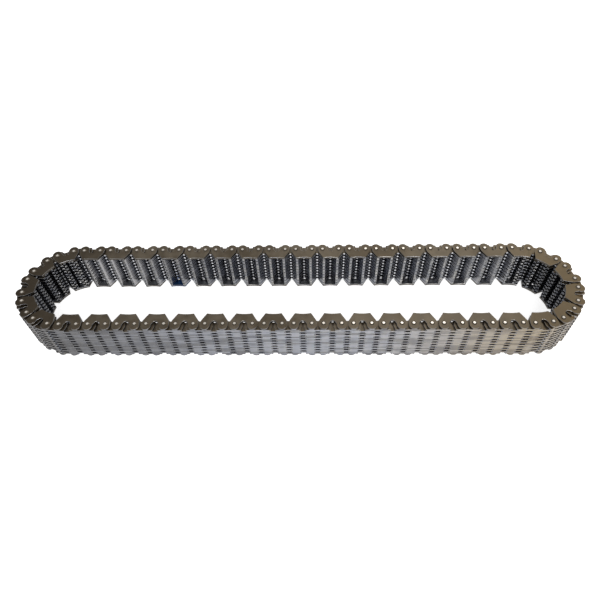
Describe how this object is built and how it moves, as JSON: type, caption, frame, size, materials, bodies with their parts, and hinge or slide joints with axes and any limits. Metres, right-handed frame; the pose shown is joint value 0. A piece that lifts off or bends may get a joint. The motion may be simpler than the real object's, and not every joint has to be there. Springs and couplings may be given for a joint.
{
  "type": "transfer case chain",
  "caption": "Endless inverted-tooth drive chain of laced steel plates on two-pin rocker joints, with notched guide plates along both sides, lying on its side as a long loop.",
  "frame": {"origin": "middle of the loop, level with the lower ends of the pins that it lies on", "axes": "+X along the straight strands, +Y across the loop, +Z along the pins"},
  "size_m": [0.3826, 0.0736, 0.0326],
  "materials": {
    "link_steel": "oiled satin"
  },
  "bodies": {
    "front_links_01": {"front_links_01": "link_steel"},
    "front_links_02": {"front_links_02": "link_steel"},
    "front_links_03": {"front_links_03": "link_steel"},
    "front_links_04": {"front_links_04": "link_steel"},
    "front_links_05": {"front_links_05": "link_steel"},
    "front_links_06": {"front_links_06": "link_steel"},
    "front_links_07": {"front_links_07": "link_steel"},
    "front_links_08": {"front_links_08": "link_steel"},
    "front_links_09": {"front_links_09": "link_steel"},
    "front_links_10": {"front_links_10": "link_steel"},
    "front_links_11": {"front_links_11": "link_steel"},
    "front_links_12": {"front_links_12": "link_steel"},
    "front_links_13": {"front_links_13": "link_steel"},
    "front_links_14": {"front_links_14": "link_steel"},
    "front_links_15": {"front_links_15": "link_steel"},
    "front_links_16": {"front_links_16": "link_steel"},
    "right_link_01": {"right_link_01": "link_steel"},
    "right_link_02": {"right_link_02": "link_steel"},
    "right_link_03": {"right_link_03": "link_steel"},
    "right_link_04": {"right_link_04": "link_steel"},
    "right_link_05": {"right_link_05": "link_steel"},
    "right_link_06": {"right_link_06": "link_steel"},
    "right_link_07": {"right_link_07": "link_steel"},
    "right_link_08": {"right_link_08": "link_steel"},
    "right_link_09": {"right_link_09": "link_steel"},
    "right_link_10": {"right_link_10": "link_steel"},
    "right_link_11": {"right_link_11": "link_steel"},
    "rear_links_01": {"rear_links_01": "link_steel"},
    "rear_links_02": {"rear_links_02": "link_steel"},
    "rear_links_03": {"rear_links_03": "link_steel"},
    "rear_links_04": {"rear_links_04": "link_steel"},
    "rear_links_05": {"rear_links_05": "link_steel"},
    "rear_links_06": {"rear_links_06": "link_steel"},
    "rear_links_07": {"rear_links_07": "link_steel"},
    "rear_links_08": {"rear_links_08": "link_steel"},
    "rear_links_09": {"rear_links_09": "link_steel"},
    "rear_links_10": {"rear_links_10": "link_steel"},
    "rear_links_11": {"rear_links_11": "link_steel"},
    "rear_links_12": {"rear_links_12": "link_steel"},
    "rear_links_13": {"rear_links_13": "link_steel"},
    "rear_links_14": {"rear_links_14": "link_steel"},
    "rear_links_15": {"rear_links_15": "link_steel"},
    "rear_links_16": {"rear_links_16": "link_steel"},
    "left_link_01": {"left_link_01": "link_steel"},
    "left_link_02": {"left_link_02": "link_steel"},
    "left_link_03": {"left_link_03": "link_steel"},
    "left_link_04": {"left_link_04": "link_steel"},
    "left_link_05": {"left_link_05": "link_steel"},
    "left_link_06": {"left_link_06": "link_steel"},
    "left_link_07": {"left_link_07": "link_steel"},
    "left_link_08": {"left_link_08": "link_steel"},
    "left_link_09": {"left_link_09": "link_steel"},
    "left_link_10": {"left_link_10": "link_steel"},
    "left_link_11": {"left_link_11": "link_steel"}
  },
  "joints": [
    {"name": "open_loop", "type": "hinge", "parent": "front_links_08", "child": "front_links_09", "pos_m": [0, -0.0322, 0.016], "axis": [0, 0, 1], "range_deg": [-0.6, 8.37]},
    {"name": "front_links_09_to_front_links_10", "type": "hinge", "parent": "front_links_09", "child": "front_links_10", "pos_m": [0.01905, -0.0322, 0.016], "axis": [0, 0, 1], "range_deg": [-0.6, 8.37]},
    {"name": "front_links_10_to_front_links_11", "type": "hinge", "parent": "front_links_10", "child": "front_links_11", "pos_m": [0.0381, -0.0322, 0.016], "axis": [0, 0, 1], "range_deg": [-0.6, 8.37]},
    {"name": "front_links_11_to_front_links_12", "type": "hinge", "parent": "front_links_11", "child": "front_links_12", "pos_m": [0.05715, -0.0322, 0.016], "axis": [0, 0, 1], "range_deg": [-0.6, 8.37]},
    {"name": "front_links_12_to_front_links_13", "type": "hinge", "parent": "front_links_12", "child": "front_links_13", "pos_m": [0.0762, -0.0322, 0.016], "axis": [0, 0, 1], "range_deg": [-0.6, 8.37]},
    {"name": "front_links_13_to_front_links_14", "type": "hinge", "parent": "front_links_13", "child": "front_links_14", "pos_m": [0.09525, -0.0322, 0.016], "axis": [0, 0, 1], "range_deg": [-0.6, 8.37]},
    {"name": "front_links_14_to_front_links_15", "type": "hinge", "parent": "front_links_14", "child": "front_links_15", "pos_m": [0.1143, -0.0322, 0.016], "axis": [0, 0, 1], "range_deg": [-0.6, 8.37]},
    {"name": "front_links_15_to_front_links_16", "type": "hinge", "parent": "front_links_15", "child": "front_links_16", "pos_m": [0.13335, -0.0322, 0.016], "axis": [0, 0, 1], "range_deg": [-0.6, 8.37]},
    {"name": "front_links_16_to_right_link_01", "type": "hinge", "parent": "front_links_16", "child": "right_link_01", "pos_m": [0.1524, -0.0322, 0.016], "axis": [0, 0, 1], "range_deg": [-0.21, 2.93]},
    {"name": "right_link_01_to_right_link_02", "type": "hinge", "parent": "right_link_01", "child": "right_link_02", "pos_m": [0.16189, -0.03135, 0.016], "axis": [0, 0, 1], "range_deg": [-13.15, 0.94]},
    {"name": "right_link_02_to_right_link_03", "type": "hinge", "parent": "right_link_02", "child": "right_link_03", "pos_m": [0.17071, -0.02777, 0.016], "axis": [0, 0, 1], "range_deg": [-13.15, 0.94]},
    {"name": "right_link_03_to_right_link_04", "type": "hinge", "parent": "right_link_03", "child": "right_link_04", "pos_m": [0.17811, -0.02177, 0.016], "axis": [0, 0, 1], "range_deg": [-13.15, 0.94]},
    {"name": "right_link_04_to_right_link_05", "type": "hinge", "parent": "right_link_04", "child": "right_link_05", "pos_m": [0.18343, -0.01387, 0.016], "axis": [0, 0, 1], "range_deg": [-13.15, 0.94]},
    {"name": "right_link_05_to_right_link_06", "type": "hinge", "parent": "right_link_05", "child": "right_link_06", "pos_m": [0.18621, -0.00476, 0.016], "axis": [0, 0, 1], "range_deg": [-13.15, 0.94]},
    {"name": "right_link_06_to_right_link_07", "type": "hinge", "parent": "right_link_06", "child": "right_link_07", "pos_m": [0.18621, 0.00476, 0.016], "axis": [0, 0, 1], "range_deg": [-13.15, 0.94]},
    {"name": "right_link_07_to_right_link_08", "type": "hinge", "parent": "right_link_07", "child": "right_link_08", "pos_m": [0.18343, 0.01387, 0.016], "axis": [0, 0, 1], "range_deg": [-13.15, 0.94]},
    {"name": "right_link_08_to_right_link_09", "type": "hinge", "parent": "right_link_08", "child": "right_link_09", "pos_m": [0.17811, 0.02177, 0.016], "axis": [0, 0, 1], "range_deg": [-13.15, 0.94]},
    {"name": "right_link_09_to_right_link_10", "type": "hinge", "parent": "right_link_09", "child": "right_link_10", "pos_m": [0.17071, 0.02777, 0.016], "axis": [0, 0, 1], "range_deg": [-13.15, 0.94]},
    {"name": "right_link_10_to_right_link_11", "type": "hinge", "parent": "right_link_10", "child": "right_link_11", "pos_m": [0.16189, 0.03135, 0.016], "axis": [0, 0, 1], "range_deg": [-13.15, 0.94]},
    {"name": "right_link_11_to_rear_links_01", "type": "hinge", "parent": "right_link_11", "child": "rear_links_01", "pos_m": [0.1524, 0.0322, 0.016], "axis": [0, 0, 1], "range_deg": [-0.21, 2.93]},
    {"name": "rear_links_01_to_rear_links_02", "type": "hinge", "parent": "rear_links_01", "child": "rear_links_02", "pos_m": [0.13335, 0.0322, 0.016], "axis": [0, 0, 1], "range_deg": [-0.6, 8.37]},
    {"name": "rear_links_02_to_rear_links_03", "type": "hinge", "parent": "rear_links_02", "child": "rear_links_03", "pos_m": [0.1143, 0.0322, 0.016], "axis": [0, 0, 1], "range_deg": [-0.6, 8.37]},
    {"name": "rear_links_03_to_rear_links_04", "type": "hinge", "parent": "rear_links_03", "child": "rear_links_04", "pos_m": [0.09525, 0.0322, 0.016], "axis": [0, 0, 1], "range_deg": [-0.6, 8.37]},
    {"name": "rear_links_04_to_rear_links_05", "type": "hinge", "parent": "rear_links_04", "child": "rear_links_05", "pos_m": [0.0762, 0.0322, 0.016], "axis": [0, 0, 1], "range_deg": [-0.6, 8.37]},
    {"name": "rear_links_05_to_rear_links_06", "type": "hinge", "parent": "rear_links_05", "child": "rear_links_06", "pos_m": [0.05715, 0.0322, 0.016], "axis": [0, 0, 1], "range_deg": [-0.6, 8.37]},
    {"name": "rear_links_06_to_rear_links_07", "type": "hinge", "parent": "rear_links_06", "child": "rear_links_07", "pos_m": [0.0381, 0.0322, 0.016], "axis": [0, 0, 1], "range_deg": [-0.6, 8.37]},
    {"name": "front_links_08_to_front_links_07", "type": "hinge", "parent": "front_links_08", "child": "front_links_07", "pos_m": [-0.01905, -0.0322, 0.016], "axis": [0, 0, 1], "range_deg": [-8.37, 0.6]},
    {"name": "front_links_07_to_front_links_06", "type": "hinge", "parent": "front_links_07", "child": "front_links_06", "pos_m": [-0.0381, -0.0322, 0.016], "axis": [0, 0, 1], "range_deg": [-8.37, 0.6]},
    {"name": "front_links_06_to_front_links_05", "type": "hinge", "parent": "front_links_06", "child": "front_links_05", "pos_m": [-0.05715, -0.0322, 0.016], "axis": [0, 0, 1], "range_deg": [-8.37, 0.6]},
    {"name": "front_links_05_to_front_links_04", "type": "hinge", "parent": "front_links_05", "child": "front_links_04", "pos_m": [-0.0762, -0.0322, 0.016], "axis": [0, 0, 1], "range_deg": [-8.37, 0.6]},
    {"name": "front_links_04_to_front_links_03", "type": "hinge", "parent": "front_links_04", "child": "front_links_03", "pos_m": [-0.09525, -0.0322, 0.016], "axis": [0, 0, 1], "range_deg": [-8.37, 0.6]},
    {"name": "front_links_03_to_front_links_02", "type": "hinge", "parent": "front_links_03", "child": "front_links_02", "pos_m": [-0.1143, -0.0322, 0.016], "axis": [0, 0, 1], "range_deg": [-8.37, 0.6]},
    {"name": "front_links_02_to_front_links_01", "type": "hinge", "parent": "front_links_02", "child": "front_links_01", "pos_m": [-0.13335, -0.0322, 0.016], "axis": [0, 0, 1], "range_deg": [-8.37, 0.6]},
    {"name": "front_links_01_to_left_link_11", "type": "hinge", "parent": "front_links_01", "child": "left_link_11", "pos_m": [-0.1524, -0.0322, 0.016], "axis": [0, 0, 1], "range_deg": [-2.93, 0.21]},
    {"name": "left_link_11_to_left_link_10", "type": "hinge", "parent": "left_link_11", "child": "left_link_10", "pos_m": [-0.16189, -0.03135, 0.016], "axis": [0, 0, 1], "range_deg": [-0.94, 13.15]},
    {"name": "left_link_10_to_left_link_09", "type": "hinge", "parent": "left_link_10", "child": "left_link_09", "pos_m": [-0.17071, -0.02777, 0.016], "axis": [0, 0, 1], "range_deg": [-0.94, 13.15]},
    {"name": "left_link_09_to_left_link_08", "type": "hinge", "parent": "left_link_09", "child": "left_link_08", "pos_m": [-0.17811, -0.02177, 0.016], "axis": [0, 0, 1], "range_deg": [-0.94, 13.15]},
    {"name": "left_link_08_to_left_link_07", "type": "hinge", "parent": "left_link_08", "child": "left_link_07", "pos_m": [-0.18343, -0.01387, 0.016], "axis": [0, 0, 1], "range_deg": [-0.94, 13.15]},
    {"name": "left_link_07_to_left_link_06", "type": "hinge", "parent": "left_link_07", "child": "left_link_06", "pos_m": [-0.18621, -0.00476, 0.016], "axis": [0, 0, 1], "range_deg": [-0.94, 13.15]},
    {"name": "left_link_06_to_left_link_05", "type": "hinge", "parent": "left_link_06", "child": "left_link_05", "pos_m": [-0.18621, 0.00476, 0.016], "axis": [0, 0, 1], "range_deg": [-0.94, 13.15]},
    {"name": "left_link_05_to_left_link_04", "type": "hinge", "parent": "left_link_05", "child": "left_link_04", "pos_m": [-0.18343, 0.01387, 0.016], "axis": [0, 0, 1], "range_deg": [-0.94, 13.15]},
    {"name": "left_link_04_to_left_link_03", "type": "hinge", "parent": "left_link_04", "child": "left_link_03", "pos_m": [-0.17811, 0.02177, 0.016], "axis": [0, 0, 1], "range_deg": [-0.94, 13.15]},
    {"name": "left_link_03_to_left_link_02", "type": "hinge", "parent": "left_link_03", "child": "left_link_02", "pos_m": [-0.17071, 0.02777, 0.016], "axis": [0, 0, 1], "range_deg": [-0.94, 13.15]},
    {"name": "left_link_02_to_left_link_01", "type": "hinge", "parent": "left_link_02", "child": "left_link_01", "pos_m": [-0.16189, 0.03135, 0.016], "axis": [0, 0, 1], "range_deg": [-0.94, 13.15]},
    {"name": "left_link_01_to_rear_links_16", "type": "hinge", "parent": "left_link_01", "child": "rear_links_16", "pos_m": [-0.1524, 0.0322, 0.016], "axis": [0, 0, 1], "range_deg": [-2.93, 0.21]},
    {"name": "rear_links_16_to_rear_links_15", "type": "hinge", "parent": "rear_links_16", "child": "rear_links_15", "pos_m": [-0.13335, 0.0322, 0.016], "axis": [0, 0, 1], "range_deg": [-8.37, 0.6]},
    {"name": "rear_links_15_to_rear_links_14", "type": "hinge", "parent": "rear_links_15", "child": "rear_links_14", "pos_m": [-0.1143, 0.0322, 0.016], "axis": [0, 0, 1], "range_deg": [-8.37, 0.6]},
    {"name": "rear_links_14_to_rear_links_13", "type": "hinge", "parent": "rear_links_14", "child": "rear_links_13", "pos_m": [-0.09525, 0.0322, 0.016], "axis": [0, 0, 1], "range_deg": [-8.37, 0.6]},
    {"name": "rear_links_13_to_rear_links_12", "type": "hinge", "parent": "rear_links_13", "child": "rear_links_12", "pos_m": [-0.0762, 0.0322, 0.016], "axis": [0, 0, 1], "range_deg": [-8.37, 0.6]},
    {"name": "rear_links_12_to_rear_links_11", "type": "hinge", "parent": "rear_links_12", "child": "rear_links_11", "pos_m": [-0.05715, 0.0322, 0.016], "axis": [0, 0, 1], "range_deg": [-8.37, 0.6]},
    {"name": "rear_links_11_to_rear_links_10", "type": "hinge", "parent": "rear_links_11", "child": "rear_links_10", "pos_m": [-0.0381, 0.0322, 0.016], "axis": [0, 0, 1], "range_deg": [-8.37, 0.6]},
    {"name": "rear_links_10_to_rear_links_09", "type": "hinge", "parent": "rear_links_10", "child": "rear_links_09", "pos_m": [-0.01905, 0.0322, 0.016], "axis": [0, 0, 1], "range_deg": [-8.37, 0.6]},
    {"name": "rear_links_09_to_rear_links_08", "type": "hinge", "parent": "rear_links_09", "child": "rear_links_08", "pos_m": [0, 0.0322, 0.016], "axis": [0, 0, 1], "range_deg": [-8.37, 0.6]}
  ],
  "couplings": [
    {"joint": "front_links_09_to_front_links_10", "follows": "open_loop", "ratio": 1},
    {"joint": "front_links_10_to_front_links_11", "follows": "open_loop", "ratio": 1},
    {"joint": "front_links_11_to_front_links_12", "follows": "open_loop", "ratio": 1},
    {"joint": "front_links_12_to_front_links_13", "follows": "open_loop", "ratio": 1},
    {"joint": "front_links_13_to_front_links_14", "follows": "open_loop", "ratio": 1},
    {"joint": "front_links_14_to_front_links_15", "follows": "open_loop", "ratio": 1},
    {"joint": "front_links_15_to_front_links_16", "follows": "open_loop", "ratio": 1},
    {"joint": "front_links_16_to_right_link_01", "follows": "open_loop", "ratio": 0.35},
    {"joint": "right_link_01_to_right_link_02", "follows": "open_loop", "ratio": -1.57},
    {"joint": "right_link_02_to_right_link_03", "follows": "open_loop", "ratio": -1.57},
    {"joint": "right_link_03_to_right_link_04", "follows": "open_loop", "ratio": -1.57},
    {"joint": "right_link_04_to_right_link_05", "follows": "open_loop", "ratio": -1.57},
    {"joint": "right_link_05_to_right_link_06", "follows": "open_loop", "ratio": -1.57},
    {"joint": "right_link_06_to_right_link_07", "follows": "open_loop", "ratio": -1.57},
    {"joint": "right_link_07_to_right_link_08", "follows": "open_loop", "ratio": -1.57},
    {"joint": "right_link_08_to_right_link_09", "follows": "open_loop", "ratio": -1.57},
    {"joint": "right_link_09_to_right_link_10", "follows": "open_loop", "ratio": -1.57},
    {"joint": "right_link_10_to_right_link_11", "follows": "open_loop", "ratio": -1.57},
    {"joint": "right_link_11_to_rear_links_01", "follows": "open_loop", "ratio": 0.35},
    {"joint": "rear_links_01_to_rear_links_02", "follows": "open_loop", "ratio": 1},
    {"joint": "rear_links_02_to_rear_links_03", "follows": "open_loop", "ratio": 1},
    {"joint": "rear_links_03_to_rear_links_04", "follows": "open_loop", "ratio": 1},
    {"joint": "rear_links_04_to_rear_links_05", "follows": "open_loop", "ratio": 1},
    {"joint": "rear_links_05_to_rear_links_06", "follows": "open_loop", "ratio": 1},
    {"joint": "rear_links_06_to_rear_links_07", "follows": "open_loop", "ratio": 1},
    {"joint": "front_links_08_to_front_links_07", "follows": "open_loop", "ratio": -1},
    {"joint": "front_links_07_to_front_links_06", "follows": "open_loop", "ratio": -1},
    {"joint": "front_links_06_to_front_links_05", "follows": "open_loop", "ratio": -1},
    {"joint": "front_links_05_to_front_links_04", "follows": "open_loop", "ratio": -1},
    {"joint": "front_links_04_to_front_links_03", "follows": "open_loop", "ratio": -1},
    {"joint": "front_links_03_to_front_links_02", "follows": "open_loop", "ratio": -1},
    {"joint": "front_links_02_to_front_links_01", "follows": "open_loop", "ratio": -1},
    {"joint": "front_links_01_to_left_link_11", "follows": "open_loop", "ratio": -0.35},
    {"joint": "left_link_11_to_left_link_10", "follows": "open_loop", "ratio": 1.57},
    {"joint": "left_link_10_to_left_link_09", "follows": "open_loop", "ratio": 1.57},
    {"joint": "left_link_09_to_left_link_08", "follows": "open_loop", "ratio": 1.57},
    {"joint": "left_link_08_to_left_link_07", "follows": "open_loop", "ratio": 1.57},
    {"joint": "left_link_07_to_left_link_06", "follows": "open_loop", "ratio": 1.57},
    {"joint": "left_link_06_to_left_link_05", "follows": "open_loop", "ratio": 1.57},
    {"joint": "left_link_05_to_left_link_04", "follows": "open_loop", "ratio": 1.57},
    {"joint": "left_link_04_to_left_link_03", "follows": "open_loop", "ratio": 1.57},
    {"joint": "left_link_03_to_left_link_02", "follows": "open_loop", "ratio": 1.57},
    {"joint": "left_link_02_to_left_link_01", "follows": "open_loop", "ratio": 1.57},
    {"joint": "left_link_01_to_rear_links_16", "follows": "open_loop", "ratio": -0.35},
    {"joint": "rear_links_16_to_rear_links_15", "follows": "open_loop", "ratio": -1},
    {"joint": "rear_links_15_to_rear_links_14", "follows": "open_loop", "ratio": -1},
    {"joint": "rear_links_14_to_rear_links_13", "follows": "open_loop", "ratio": -1},
    {"joint": "rear_links_13_to_rear_links_12", "follows": "open_loop", "ratio": -1},
    {"joint": "rear_links_12_to_rear_links_11", "follows": "open_loop", "ratio": -1},
    {"joint": "rear_links_11_to_rear_links_10", "follows": "open_loop", "ratio": -1},
    {"joint": "rear_links_10_to_rear_links_09", "follows": "open_loop", "ratio": -1},
    {"joint": "rear_links_09_to_rear_links_08", "follows": "open_loop", "ratio": -1}
  ]
}
